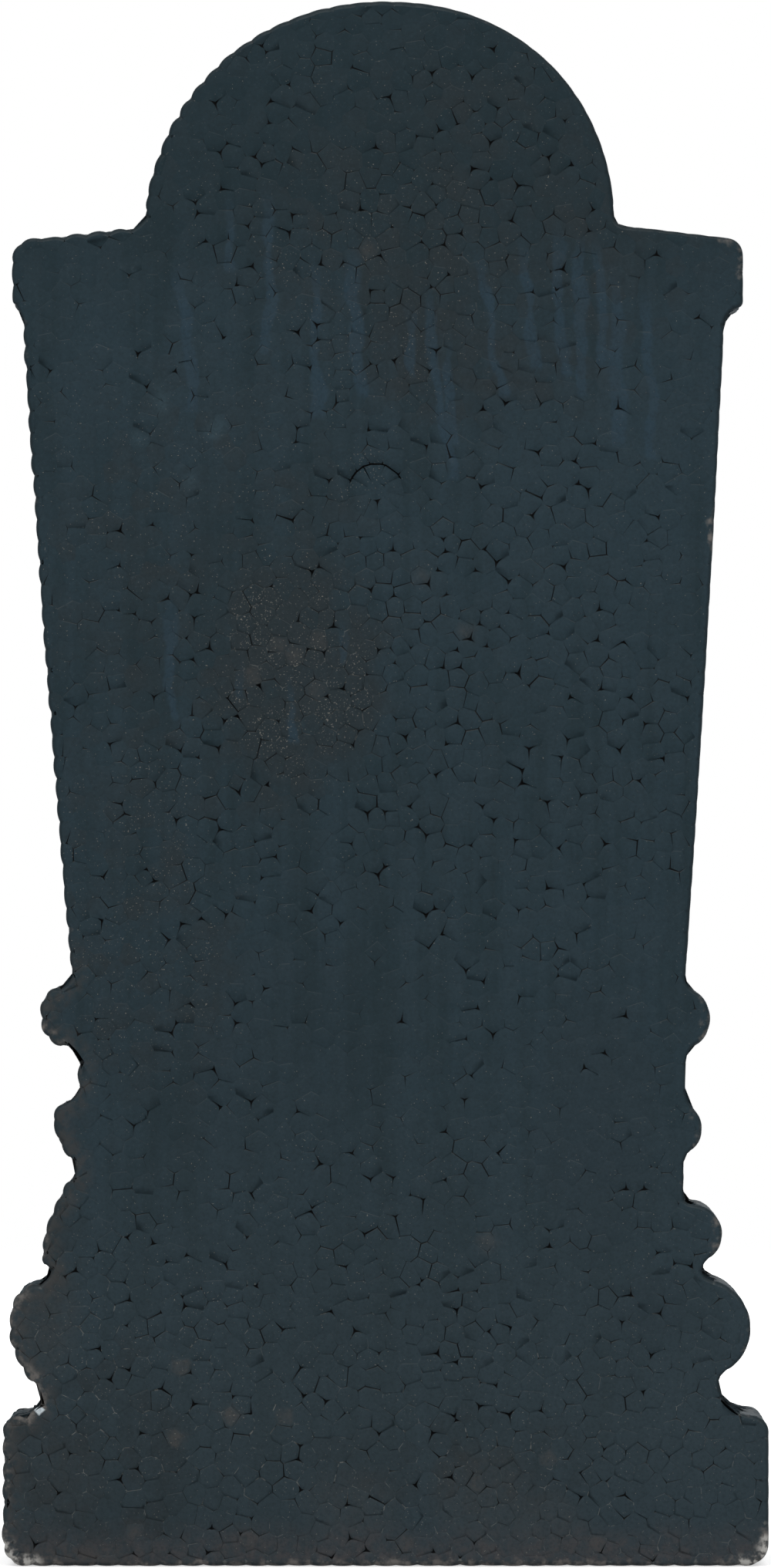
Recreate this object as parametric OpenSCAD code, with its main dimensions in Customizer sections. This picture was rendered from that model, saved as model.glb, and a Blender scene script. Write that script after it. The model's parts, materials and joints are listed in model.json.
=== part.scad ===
// Headstone decoration moulded in one piece: a plinth, four round rolls with
// necks between them, a shaft that widens upwards, a cap and a half-round arch.
// The back is flat. The front carries the same courses, with less projection.
// Millimetres. X runs along the width, Y from the flat back to the front, Z up.

/* [Plinth] */
// Width of the plinth, which is the width of the whole piece
plinth_w = 221; // [180:1:270]
// Depth of the plinth, which is the depth of the whole piece
plinth_d = 54; // [46:1:72]
// Height of the plinth
plinth_h = 43.5; // [34:0.5:60]
// Radius of the two lower corners, seen from the back
foot_r = 6.5; // [2:0.5:10]
// Radius of the two upper corners, and of the edge along the front
shoulder_r = 5; // [2:0.5:8]

/* [Rolls, numbered from the top one down] */
// Radius of each roll, half of its height
roll_r = [9.5, 8, 9, 14.5]; // [6:0.5:18]
// How far each roll's tip stays inside the end of the plinth
roll_inset = [14, 17, 12, 3.5]; // [1:0.5:24]
// How far each roll's front stays behind the front of the plinth
roll_setback = [9, 10, 7.5, 3.5]; // [1:0.5:12]

/* [Necks, each one under the roll of the same number] */
// Height of each neck, where the last one is the cove over the plinth
neck_h = [14, 13.5, 4, 10]; // [3:0.5:20]
// How far each neck stays inside the end of the plinth
neck_inset = [23, 23, 17, 13]; // [12:0.5:30]
// How far each neck stays behind the front of the plinth
neck_setback = [15, 15, 12.5, 15]; // [8:0.5:18]

/* [Shaft] */
// Height of the shaft, from the top roll to the cap
shaft_h = 194; // [120:1:260]
// How far the shaft's foot stays inside the end of the plinth
shaft_foot_inset = 22; // [12:0.5:30]
// How far the shaft's top stays inside the end of the plinth
shaft_top_inset = 9.5; // [6:0.5:24]
// How far the shaft and the arch stay behind the front of the plinth
shaft_setback = 15; // [8:0.5:18]

/* [Cap] */
// Height of the cap at its ends
cap_h = 21; // [14:0.5:34]
// Rise of the cap's top from its ends to the foot of the arch
cap_rise = 3.5; // [0.5:0.5:8]
// How far the cap stays inside the end of the plinth
cap_inset = 5; // [1:0.5:8]
// How far the cap's front stays behind the front of the plinth
cap_setback = 9; // [2:0.5:12]
// Radius of the cap's upper corners
cap_top_r = 5; // [2:0.5:8]
// Radius of the cap's lower corners
cap_under_r = 2; // [1:0.5:4]

/* [Arch] */
// Radius of the half-round arch
arch_r = 68; // [50:1:76]

/* [Crookedness of the moulding] */
// Sideways place of the rolls, the necks and the shaft's foot from the plinth's middle
rolls_x = -2; // [-4:0.5:4]
// Sideways place of the shaft's top from the plinth's middle
shaft_top_x = -3.5; // [-5:0.5:5]
// Sideways place of the cap from the plinth's middle
cap_x = -2.5; // [-4:0.5:4]
// Sideways place of the arch from the plinth's middle
arch_x = -0.5; // [-4:0.5:4]

/* [Hidden] */
$fn = 96;
// Steps in the quarter circle of a rounded corner
corner_steps = 8;
half_w = plinth_w / 2;
back_y = -plinth_d / 2;
front_y = plinth_d / 2;
last = len(roll_r) - 1;
shaft_z = roll_z(0) + roll_r[0];
cap_z = shaft_z + shaft_h;
arch_z = cap_z + cap_h;
total_h = arch_z + arch_r;
paint = [0.17, 0.21, 0.235];

// Height of the middle of roll i: the rolls stack up from the plinth
function roll_z(i) = i == last
    ? plinth_h + neck_h[i] + roll_r[i]
    : roll_z(i + 1) + roll_r[i + 1] + neck_h[i] + roll_r[i];

// Height of the foot of neck i, which is the top of what it stands on
function neck_z(i) = i == last ? plinth_h : roll_z(i + 1);

function arc(middle, r, start, end) = [
    for (i = [0 : corner_steps])
        let (a = start + (end - start) * i / corner_steps)
        middle + r * [cos(a), sin(a)]
];

// Block from x0 to x1 and z0 to z1, with its own radius at the upper and lower
// corners of its right side and of its left side
module block(x0, x1, z0, z1, right_low, right_top, left_top, left_low)
    polygon(concat(
        arc([x1 - right_low, z0 + right_low], right_low, -90, 0),
        arc([x1 - right_top, z1 - right_top], right_top, 0, 90),
        arc([x0 + left_top, z1 - left_top], left_top, 90, 180),
        arc([x0 + left_low, z0 + left_low], left_low, 180, 270)
    ));

// Roll from x = 0 to its round tip
module roll(tip, r, z) {
    translate([tip - r, z]) circle(r);
    translate([0, z - r]) square([tip - r, 2 * r]);
}

// Hollow quarter round that leads from the plinth's top in to the neck at x = edge
module cove(edge, r, z)
    polygon(concat(
        [[edge - r, z - r / 2], [edge + r, z - r / 2]],
        arc([edge + r, z + r], r, 270, 180),
        [[edge - r, z + r]]
    ));

// Outline seen from the back: X along the width, Z up
module outline() {
    block(-half_w, half_w, 0, plinth_h, foot_r, shoulder_r, shoulder_r, foot_r);
    translate([rolls_x, 0]) {
        for (side = [-1, 1]) scale([side, 1]) {
            cove(half_w - neck_inset[last], neck_h[last], plinth_h);
            for (i = [0 : last]) {
                roll(half_w - roll_inset[i], roll_r[i], roll_z(i));
                translate([0, neck_z(i)]) square([half_w - neck_inset[i], roll_z(i) - neck_z(i)]);
            }
        }
    }
    shaft_outline();
    cap_outline();
    translate([arch_x, arch_z]) circle(arch_r);
}

module shaft_outline()
    polygon([
        [rolls_x - half_w + shaft_foot_inset, roll_z(0)],
        [rolls_x + half_w - shaft_foot_inset, roll_z(0)],
        [shaft_top_x + half_w - shaft_top_inset, cap_z + cap_h / 2],
        [shaft_top_x - half_w + shaft_top_inset, cap_z + cap_h / 2]
    ]);

module cap_outline() {
    reach = half_w - cap_inset;
    translate([cap_x, 0]) {
        block(-reach, reach, cap_z, arch_z, cap_under_r, cap_top_r, cap_top_r, cap_under_r);
        polygon([
            [cap_top_r - reach, arch_z - cap_top_r],
            [reach - cap_top_r, arch_z - cap_top_r],
            [reach - cap_top_r, arch_z],
            [arch_r, arch_z + cap_rise],
            [-arch_r, arch_z + cap_rise],
            [cap_top_r - reach, arch_z]
        ]);
    }
}

// Profile seen from the side: Y from the flat back to the front, Z up
module profile() {
    sharp = 0.5;
    block(back_y, front_y, 0, plinth_h, sharp, shoulder_r, sharp, sharp);
    cove(front_y - neck_setback[last], neck_h[last], plinth_h);
    for (i = [0 : last]) {
        roll(front_y - roll_setback[i], roll_r[i], roll_z(i));
        translate([back_y, neck_z(i)])
            square([plinth_d - neck_setback[i], roll_z(i) - neck_z(i)]);
    }
    translate([back_y, roll_z(0)]) square([plinth_d - shaft_setback, total_h - roll_z(0)]);
    block(back_y, front_y - cap_setback, cap_z, arch_z + cap_rise,
        cap_under_r, cap_top_r, sharp, sharp);
}

module headstone()
    color(paint)
        intersection() {
            rotate([90, 0, 0]) linear_extrude(height = plinth_d, center = true) outline();
            rotate([90, 0, 90]) linear_extrude(height = plinth_w, center = true) profile();
        }

headstone();
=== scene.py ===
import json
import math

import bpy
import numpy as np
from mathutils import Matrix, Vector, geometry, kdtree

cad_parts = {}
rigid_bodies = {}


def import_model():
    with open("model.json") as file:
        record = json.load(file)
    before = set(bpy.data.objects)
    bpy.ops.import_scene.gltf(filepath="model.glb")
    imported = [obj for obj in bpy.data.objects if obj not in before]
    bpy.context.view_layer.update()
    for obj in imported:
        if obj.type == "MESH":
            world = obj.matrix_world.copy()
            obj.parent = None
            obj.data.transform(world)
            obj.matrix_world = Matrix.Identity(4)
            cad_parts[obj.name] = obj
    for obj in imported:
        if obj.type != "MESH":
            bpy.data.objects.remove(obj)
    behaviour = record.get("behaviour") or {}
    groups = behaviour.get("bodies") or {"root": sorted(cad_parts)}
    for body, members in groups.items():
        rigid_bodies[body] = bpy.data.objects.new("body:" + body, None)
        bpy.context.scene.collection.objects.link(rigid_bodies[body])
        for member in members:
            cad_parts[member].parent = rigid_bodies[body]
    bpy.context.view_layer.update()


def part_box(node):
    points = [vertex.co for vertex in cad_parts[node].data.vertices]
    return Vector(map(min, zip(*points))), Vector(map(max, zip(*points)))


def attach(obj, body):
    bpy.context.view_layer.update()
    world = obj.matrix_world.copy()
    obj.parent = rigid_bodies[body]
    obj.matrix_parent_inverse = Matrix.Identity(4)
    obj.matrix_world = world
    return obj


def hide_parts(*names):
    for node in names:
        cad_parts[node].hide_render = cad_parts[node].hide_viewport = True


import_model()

# Headstone decoration of moulded bead foam, painted dark slate blue.
# The mesh is made bead by bead: the flat back, the wall round the edge and the front
# are each divided into cells, one cell for each foam bead, and the three share their rims.
# X runs along the width, Y from the back to the front, Z up. The mesh is worked out in
# millimetres, and make_piece() turns it into metres. The floor, lamps and camera are in metres.

LOW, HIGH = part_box("headstone")
BACK_FACE = LOW.y * 1000 + 0.25
FRONT_FACE = HIGH.y * 1000 - 0.1
TOP = HIGH.z * 1000
SEED = 11

# Bead pitch along the rims, on the back, and on the wall and the front
RIM_BEAD = 6.2
BACK_BEAD = 5.25
FRONT_BEAD = 6.0
# Points of the rim for each bead, and radius of the rims' rounding
STEPS = 8
EDGE_R = 1.1
# How far in a rounding's middle lies, as a part of its radius: 1 less the cosine of 45 degrees
MID_ROUND = 0.29

# The courses of each side, seen from the back, by their reach from the middle.
# Cove: reach of its round's middle, radius. Rolls from the bottom up: reach of the tip, height of
# the foot, of the tip and of the head, depth of the roundness, and its power below and above the
# tip (2 is a circle). Necks: reach, lowest and highest height. Shaft: reach at the foot and at
# the top, bulge between them. Cap: reach, radius of its upper corner.
RIGHT = {
    "plinth": 110.4,
    "plinth_r": 5,
    "cove": (105.6, 10),
    "rolls": [
        (105.2, 54, 68.5, 83, 14.5, 2, 2),
        (97, 86.6, 95.5, 104.4, 9, 2, 2),
        (91.2, 117.8, 125.8, 133.8, 7.8, 2, 2),
        (93.6, 148, 157.5, 167, 9.5, 2, 2),
    ],
    "necks": [(95.8, 52, 60), (91.4, 82, 88), (86, 103, 119), (86.6, 133, 149)],
    "shaft": (86.2, 97.8, 0.5),
    "cap": (103, 5),
}
LEFT = {
    "plinth": 110.4,
    "plinth_r": 4.5,
    "cove": (105.2, 6),
    "rolls": [
        (108.5, 47.5, 67, 82.4, 14.5, 1.6, 3),
        (99.3, 82, 90, 114, 11, 2, 1.4),
        (95.9, 114, 128.5, 134.6, 8.8, 1.6, 2.4),
        (99.4, 148.4, 158, 167.4, 10.5, 2.3, 3),
    ],
    "necks": [(99.2, 46, 52), (96.3, 81, 86), (88, 104, 120), (88.9, 133, 149.5)],
    "shaft": (90.2, 104.8, 0.6),
    "cap": (107.6, 7),
}
# Plinth: its height and the radius of its lower corners
PLINTH_H = 43.5
FOOT_R = 6.5
# Shaft: the height of its foot, and how far its sides run on down into the top roll
SHAFT_FOOT = 165.0
SHAFT_LAP = 8
# Cap: the heights of its underside, its lip, its shoulders and its peak, the reach of the peak,
# which is inside the arch, and the radius of the lip
CAP_LOW = 360.0
CAP_LIP = 361.6
CAP_SHOULDER = 382.0
CAP_PEAK = 386.6
PEAK_REACH = 60.0
LIP_R = 2.0
# Arch: the height of its foot, its half width, its roundness (2 is a circle), and how far its
# middle lies to the right at the foot and at the top
ARCH_FOOT = 382.0
ARCH_R = 68.0
ARCH_POWER = 2.1
ARCH_LEAN = (-2.0, 0.4)

# The front: the same courses, with the reach along Y. Rolls: reach, height of the tip, radius.
FRONT_PLINTH = FRONT_FACE
FRONT_R = 5.0
FRONT_COVE = (22, 10)
FRONT_ROLLS = [(23.4, 68, 14.5), (19.4, 95.5, 9), (16.9, 126, 8), (17.9, 157.5, 9.5)]
FRONT_NECKS = [(12, 53, 60), (14.5, 81, 88), (12, 103, 119), (12, 133, 149)]
FRONT_SHAFT = 12.0
FRONT_CAP = 17.9

# Round mark of the filling plug: x and z of its middle, and its radius
PLUG = (-2.6, 309.0, 8.0)

rng = np.random.default_rng(SEED)


# ---------------------------------------------------------------- outline and profile

def within(z, low, high, value):
    """A course's reach between two heights, and nothing outside them."""
    return np.where((z >= low) & (z <= high), value, -1e9)


def arc_in(radius, away):
    return np.sqrt(np.maximum(radius**2 - away**2, 0.0))


def drawn_in(depth, part, power):
    """How far a round tip has drawn in at part, which is 0 at the tip and 1 at its end."""
    part = np.clip(part, 0, 1)
    return depth * (1 - (1 - part**power) ** (1 / power))


def roll_reach(z, tip, foot, middle, head, depth, below, above):
    part = np.where(z > middle, (z - middle) / (head - middle), (middle - z) / (middle - foot))
    power = np.where(z > middle, above, below)
    return within(z, foot, head, tip - drawn_in(depth, part, power))


def plinth_reach(z, reach, foot_r, top_r):
    low = arc_in(foot_r, foot_r - np.minimum(z, foot_r)) - foot_r
    high = arc_in(top_r, np.maximum(z - (PLINTH_H - top_r), 0)) - top_r
    return within(z, 0, PLINTH_H, reach + low + high)


def cove_reach(z, middle, radius):
    top = PLINTH_H + radius
    return within(z, PLINTH_H, top, middle - arc_in(radius, top - z))


def cap_reach(z, reach, corner, start, end, shoulder):
    """A cap from the shaft at start: ledge, rounded lip, side, rounded corner, and slope to end."""
    ledge = start + (reach - LIP_R - start) * (z - CAP_LOW) / (CAP_LIP - CAP_LOW)
    lip = reach - LIP_R + arc_in(LIP_R, LIP_R - np.clip(z - CAP_LIP, 0, LIP_R))
    top = reach - corner + arc_in(corner, np.clip(z - (shoulder - corner), 0, corner))
    slope = reach - corner + (end - reach + corner) * (z - shoulder) / (CAP_PEAK - shoulder)
    body = np.where(z < CAP_LIP, ledge, np.where(z < CAP_LIP + LIP_R, lip, top))
    return within(z, CAP_LOW, CAP_PEAK, np.where(z > shoulder, slope, body))


def arch_reach(z, sign):
    part = np.clip((z - ARCH_FOOT) / (TOP - ARCH_FOOT), 0, 1)
    half = ARCH_R * (1 - part**ARCH_POWER) ** (1 / ARCH_POWER)
    middle = ARCH_LEAN[0] + (ARCH_LEAN[1] - ARCH_LEAN[0]) * part
    return within(z, ARCH_FOOT, TOP, half + sign * middle)


def side_courses(z, side, sign):
    foot, top, bulge = side["shaft"]
    part = (z - SHAFT_FOOT) / (CAP_LOW - SHAFT_FOOT)
    shaft = foot + (top - foot) * part + bulge * np.sin(math.pi * np.clip(part, 0, 1))
    rows = [plinth_reach(z, side["plinth"], FOOT_R, side["plinth_r"]), cove_reach(z, *side["cove"])]
    rows += [roll_reach(z, *roll) for roll in side["rolls"]]
    rows += [within(z, low, high, reach) for reach, low, high in side["necks"]]
    rows += [within(z, SHAFT_FOOT - SHAFT_LAP, CAP_LOW + 0.3, shaft)]
    rows += [cap_reach(z, *side["cap"], top, PEAK_REACH, CAP_SHOULDER), arch_reach(z, sign)]
    return np.array(rows)


def front_courses(z):
    rows = [plinth_reach(z, FRONT_PLINTH, 0.01, FRONT_R), cove_reach(z, *FRONT_COVE)]
    rows += [within(z, middle - r, middle + r, tip - r + arc_in(r, z - middle))
             for tip, middle, r in FRONT_ROLLS]
    rows += [within(z, low, high, reach) for reach, low, high in FRONT_NECKS]
    rows += [within(z, SHAFT_FOOT - SHAFT_LAP, TOP, FRONT_SHAFT)]
    rows += [cap_reach(z, FRONT_CAP, FRONT_R, FRONT_SHAFT, FRONT_SHAFT, CAP_PEAK - 1)]
    return np.array(rows)


def fine_heights(reach):
    """Heights close enough together that the reach seldom jumps a third of a millimetre."""
    widest, closest = 0.3, 2e-4
    z = np.unique(np.concatenate([np.linspace(0, TOP, 1801), [PLINTH_H, CAP_LOW, CAP_LIP, CAP_PEAK]]))
    for _ in range(16):
        wide = (np.abs(np.diff(reach(z))) > widest) & (np.diff(z) > closest)
        if not wide.any():
            break
        z = np.sort(np.concatenate([z, (z[:-1] + z[1:])[wide] / 2]))
    return z


def length_along(points):
    return np.concatenate([[0], np.cumsum(np.hypot(*np.diff(points, axis=0).T))])


def points_at(lengths, along, points):
    """The points of a line at the given lengths."""
    return np.stack([np.interp(lengths, along, points[:, k]) for k in (0, 1)], axis=1)


def steps_of(points):
    """For each point of a closed line, the step from the point before it to the one after."""
    return np.roll(points, -1, axis=0) - np.roll(points, 1, axis=0)


def right_of(steps):
    """Unit normals on the right of a line's steps, which is outside a counterclockwise loop."""
    turned = np.stack([steps[:, 1], -steps[:, 0]], axis=1)
    return turned / np.linalg.norm(turned, axis=1, keepdims=True)


def resample(points):
    """The same line in equal steps, a whole number of beads long."""
    along = length_along(points)
    count = max(1, round(along[-1] / RIM_BEAD)) * STEPS
    return points_at(np.linspace(0, along[-1], count + 1), along, points)


def side_sections(side, sign):
    """The outline of one side from the underside's middle to the top, cut at its inner corners."""
    z = fine_heights(lambda h: side_courses(h, side, sign).max(axis=0))
    courses = side_courses(z, side, sign)
    points = np.stack([sign * courses.max(axis=0), z], axis=1)
    points = np.concatenate([[[0.0, 0.0]], points])
    along = length_along(points)
    cuts = [0]
    for k in np.flatnonzero(np.diff(courses.argmax(axis=0))) + 1:
        if along[k] - along[cuts[-1]] > RIM_BEAD / 2:
            cuts.append(k)
    return [points[a:b + 1] for a, b in zip(cuts, cuts[1:] + [len(points) - 1])]


def make_outline():
    """The closed outline, from the underside's middle round over the right side."""
    right = side_sections(RIGHT, 1)
    left = side_sections(LEFT, -1)
    arch = np.concatenate([right[-1], left[-1][::-1]])
    sections = right[:-1] + [arch] + [part[::-1] for part in left[:-1][::-1]]
    return fill_corners(np.concatenate([resample(part)[:-1] for part in sections]))


def turning(points):
    """The turn of a closed line at each point, in radians: below 0 in its inner corners."""
    run_in, run_out = points - np.roll(points, 1, axis=0), np.roll(points, -1, axis=0) - points
    across = run_in[:, 0] * run_out[:, 1] - run_in[:, 1] * run_out[:, 0]
    return np.arctan2(across, (run_in * run_out).sum(axis=1))


def fill_corners(points):
    """Rounds off the inner corners of the outline, which no bead can fill sharply."""
    for _ in range(16):
        middle = (np.roll(points, 1, axis=0) + np.roll(points, -1, axis=0)) / 2
        inner = (turning(points) < -0.02)[:, None]
        points = points + np.where(inner, 0.5 * (middle - points), 0)
    return points


class Profile:
    """The front seen from the side: reach along Y and length v along the surface, by height."""

    def __init__(self):
        self.z = fine_heights(lambda h: front_courses(h).max(axis=0))
        self.y = front_courses(self.z).max(axis=0)
        self.v = length_along(np.stack([self.y, self.z], axis=1))

    def reach(self, z):
        return np.interp(z, self.z, self.y)

    def length(self, z):
        return np.interp(z, self.z, self.v)

    def place(self, x, v):
        return np.column_stack([x, points_at(v, self.v, np.stack([self.y, self.z], axis=1))])

    def normal(self, v):
        reach = 0.8
        step = self.place(v * 0, v + reach) - self.place(v * 0, v - reach)
        return np.column_stack([v * 0, right_of(step[:, 1:])])


class Outline:
    """The closed outline, by length u from the underside's middle round over the right side."""

    def __init__(self, points):
        self.points = points
        self.ring = np.concatenate([points, points[:1]])
        self.u = length_along(self.ring)
        self.normals = right_of(steps_of(points))
        self.normal_ring = np.concatenate([self.normals, self.normals[:1]])
        # How hollow the outline is over a bead's length: above 0 in its inner corners
        bend = sum(np.roll(turning(points), k) for k in range(-STEPS // 2, STEPS // 2 + 1))
        self.hollow = np.clip(-np.append(bend, bend[0]) / 0.8, 0, 1.2)

    def at(self, u):
        return points_at(u, self.u, self.ring)

    def normal(self, u):
        found = points_at(u, self.u, self.normal_ring)
        return found / np.linalg.norm(found, axis=1, keepdims=True)


# ---------------------------------------------------------------- fields over the surface

def smooth(value, low, high):
    part = np.clip((value - low) / (high - low), 0, 1)
    return part * part * (3 - 2 * part)


def add_areas(total, x, z, areas):
    """Adds soft ovals to a field: middle x and z, half width, half height, and weight of each."""
    for middle_x, middle_z, half_x, half_z, weight in areas:
        away = ((x - middle_x) / half_x) ** 2 + ((z - middle_z) / half_z) ** 2
        total = total + weight * (1 - smooth(away, 0.25, 1.2))
    return total


def lumpiness(x, z):
    """How deep the rim is scalloped: the left of the mould pressed the beads less."""
    depth = 0.12 + (0.6 + 0.25 * smooth(-z, -175, -150)) * smooth(-x, -10, 70)
    return np.where(z < 1.0, 0.3, depth)


# Where on the back pits are more common, and where the beads' own outlines show more or less
PIT_AREAS = [
    (35, 255, 62, 95, 0.16), (-25, 250, 60, 80, 0.09), (0, 60, 120, 75, 0.12), (5, 390, 68, 62, 0.15),
    (-60, 200, 50, 80, 0.05),
]
SHOW_AREAS = [
    (-28, 262, 34, 38, 0.55), (12, 365, 46, 50, 0.35), (40, 260, 60, 70, 0.12), (-92, 110, 30, 90, 0.4),
    (20, 140, 80, 50, -0.3),
]


def pit_chance(p):
    return add_areas(0.07, p[:, 0], p[:, 1], PIT_AREAS)


def outline_show(p):
    """How far the beads' own outlines show: most near the foot and in the bare patch."""
    foot = 0.15 + 0.48 * smooth(-p[:, 1], -100, -30)
    return np.clip(add_areas(foot, p[:, 0], p[:, 1], SHOW_AREAS), 0.05, 1)


# The deepest pits of the back: place and strength
DEEP_PITS = [
    (24.9, 400, 1), (-7, 390.5, 0.9), (-38, 402, 0.7), (19, 372, 0.7),
    (-36, 253.5, 1), (-41.5, 244, 0.9), (-16, 270.5, 0.8), (-11, 251.5, 0.8),
    (-32.5, 224, 0.8), (0, 198, 0.9), (-48.5, 211, 0.8), (-20.5, 188, 0.8),
    (-31, 203.5, 0.6), (38, 225, 1), (39, 255.5, 1), (24.5, 268, 0.9),
    (10.5, 283.5, 0.8), (36, 283.5, 0.8), (19, 235.5, 0.7), (77, 300, 0.6),
    (36, 43.5, 0.9), (26.5, 44.5, 0.8), (20, 44, 0.8), (17.5, 61, 0.9),
    (22.5, 58, 0.8), (-30, 70, 0.6), (9, 105, 0.6), (57, 20, 0.7),
]


def pit_strengths(points, chance):
    """How open the pit is at each place where beads meet: 0 for none, and a few deep ones."""
    luck = rng.random(len(points))
    size = rng.random(len(points))
    strong = luck < 0.42 * chance
    weak = luck < 2.4 * chance
    return np.where(strong, 0.4 + 0.45 * size, np.where(weak, 0.1 + 0.25 * size, 0.0))


def add_deep_pits(points, strengths):
    for x, z, strength in DEEP_PITS:
        nearest = np.argmin(np.hypot(points[:, 0] - x, points[:, 1] - z))
        strengths[nearest] = max(strengths[nearest], strength)


# ---------------------------------------------------------------- bead cells

def inside(points, ring):
    """True for each point inside a closed ring."""
    found = np.zeros(len(points), bool)
    x, y = points[:, 0], points[:, 1]
    for (ax, ay), (bx, by) in zip(ring, np.roll(ring, -1, axis=0)):
        if ay != by:
            found ^= ((ay > y) != (by > y)) & (x < ax + (y - ay) * (bx - ax) / (by - ay))
    return found


def distances(points, others):
    """How far each point is from the nearest of the others, in two or three dimensions."""
    tree = kdtree.KDTree(len(others))
    for k, place in enumerate(others):
        tree.insert(Vector(place).to_3d(), k)
    tree.balance()
    return np.array([tree.find(Vector(place).to_3d())[2] for place in points])


def scatter(loop, pitch, fixed):
    """Bead middles thrown at random over a closed loop, none nearer than the beads allow."""
    (x0, y0), (x1, y1) = loop.min(axis=0), loop.max(axis=0)
    area = (x1 - x0) * (y1 - y0)
    tries = rng.random((int(area / pitch**2 * 24), 2)) * (x1 - x0, y1 - y0) + (x0, y0)
    tries = tries[inside(tries, loop)]
    tries = tries[distances(tries, loop) > 0.5 * pitch]
    if len(fixed):
        tries = tries[distances(tries, fixed) > 0.72 * pitch]
    sizes = pitch * np.linspace(0.92, 0.74, len(tries))
    taken, kept = {}, []
    for (x, y), near in zip(tries.tolist(), sizes.tolist()):
        cell = (int(x // pitch), int(y // pitch))
        around = [taken.get((cell[0] + i, cell[1] + j)) for i in (-1, 0, 1) for j in (-1, 0, 1)]
        crowd = [other for group in around if group for other in group]
        if all((x - a) ** 2 + (y - b) ** 2 > near * near for a, b in crowd):
            taken.setdefault(cell, []).append((x, y))
            kept.append((x, y))
    return np.concatenate([fixed, kept]) if len(fixed) else np.array(kept)


def triangles_of(points, rim_count):
    """Triangles between the beads' middles, inside the rim and all turned the same way."""
    rim = [(k, (k + 1) % rim_count) for k in range(rim_count)]
    made = geometry.delaunay_2d_cdt([Vector(p) for p in points], rim, [], 0, 1e-5, True)
    source = [found[0] if found else -1 for found in made[3]]
    faces = np.array([[source[k] for k in face] for face in made[2]])
    faces = faces[inside(points[faces].mean(axis=1), points[:rim_count])]
    a, b, c = points[faces[:, 0]], points[faces[:, 1]], points[faces[:, 2]]
    turned = np.cross(b - a, c - a) < 0
    faces[turned] = faces[turned][:, ::-1]
    return faces


def junctions_of(points, faces):
    """Where three beads meet: the middle of the circle through them, kept inside the triangle."""
    corners = points[faces]
    sides = [((corners[:, (k + 1) % 3] - corners[:, (k + 2) % 3]) ** 2).sum(axis=1) for k in range(3)]
    a, b, c = sides
    weights = np.stack([a * (b + c - a), b * (c + a - b), c * (a + b - c)], axis=1)
    weights /= weights.sum(axis=1, keepdims=True)
    weights = np.clip(weights, 0.1, None)
    weights /= weights.sum(axis=1, keepdims=True)
    return (corners * weights[:, :, None]).sum(axis=1)


def relax(points, rim_count, fixed_count):
    """Moves each free bead towards the middle of its cell."""
    for _ in range(2):
        faces = triangles_of(points, rim_count)
        meeting = junctions_of(points, faces)
        total = np.zeros_like(points)
        count = np.zeros(len(points))
        for k in range(3):
            np.add.at(total, faces[:, k], meeting)
            np.add.at(count, faces[:, k], 1)
        free = np.arange(len(points)) >= rim_count + fixed_count
        free &= count > 0
        points[free] += 0.6 * (total[free] / count[free][:, None] - points[free])
    return points


class Sheet:
    """One part of the surface in flat coordinates. It starts with the points of its rim."""

    def __init__(self, loop, loop_ids):
        self.loop = loop
        self.rim_count = len(loop) // STEPS
        self.xy = [tuple(p) for p in loop]
        self.ids = list(loop_ids)
        self.depth, self.groove, self.pit = ([0.0] * len(loop) for _ in range(3))
        self.faces = []
        self.face_bead = []

    def add(self, xy, depth, groove=0.0, pit=0.0):
        self.xy.append((xy[0], xy[1]))
        self.ids.append(-1)
        self.depth.append(depth)
        self.groove.append(groove)
        self.pit.append(pit)
        return len(self.xy) - 1

    def add_band(self, band, band_ids, start=0, closed=True):
        """A strip of squares between the rim, from its point start on, and the row outside it."""
        first = len(self.xy)
        for point, number in zip(band, band_ids):
            self.add(point, 0.0)
            self.ids[-1] = number
        count = len(band)
        for k in range(count if closed else count - 1):
            after = (k + 1) % count
            self.faces.append((start + k, first + k, first + after, start + after))
            self.face_bead.append(0.5)


def neighbours(faces):
    """For each directed side (a, b): its triangle and that triangle's third corner."""
    third = {}
    for number, (a, b, c) in enumerate(faces.tolist()):
        third[a, b] = (number, c)
        third[b, c] = (number, a)
        third[c, a] = (number, b)
    return third


def fan(third, bead, start):
    """The triangles round a bead, counterclockwise from the side towards start."""
    order, turn = [], start
    while (bead, turn) in third:
        number, turn = third[bead, turn]
        order.append(number)
        if turn == start:
            break
    return order


def between(a, b, length):
    """The point at a length from a towards b, never as far as halfway."""
    run = b - a
    whole = math.hypot(run[0], run[1]) + 1e-9
    return a + run * min(length / whole, 0.42)


def border_groove(luck, pit, show):
    """How deep a border is and how much painted shade it gets: most near a pit, and at random where the
    outlines show.
    """
    return min(1.0, 0.85 * pit * (0.3 + 0.7 * luck) + 1.35 * show * (0.04 + 0.96 * luck**5))


# Depth of the deepest pit, of the crack round the plug, and of a full border, in millimetres
PIT_DEPTH = 1.5
CRACK_DEPTH = 1.1
BORDER_DEPTH = 0.16
# How far a border's sunk part, which gets painted shade, runs from where beads meet, and how far in a bead's
# ring lies:
# at a closed meeting, and more by the strength of the pit
ARM_RUN = (0.35, 1.3)
RING_IN = (0.24, 0.34)
# Size and rise of a rounder top's second ring
DOME_RING = 0.72
DOME_RISE = 0.2


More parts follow.
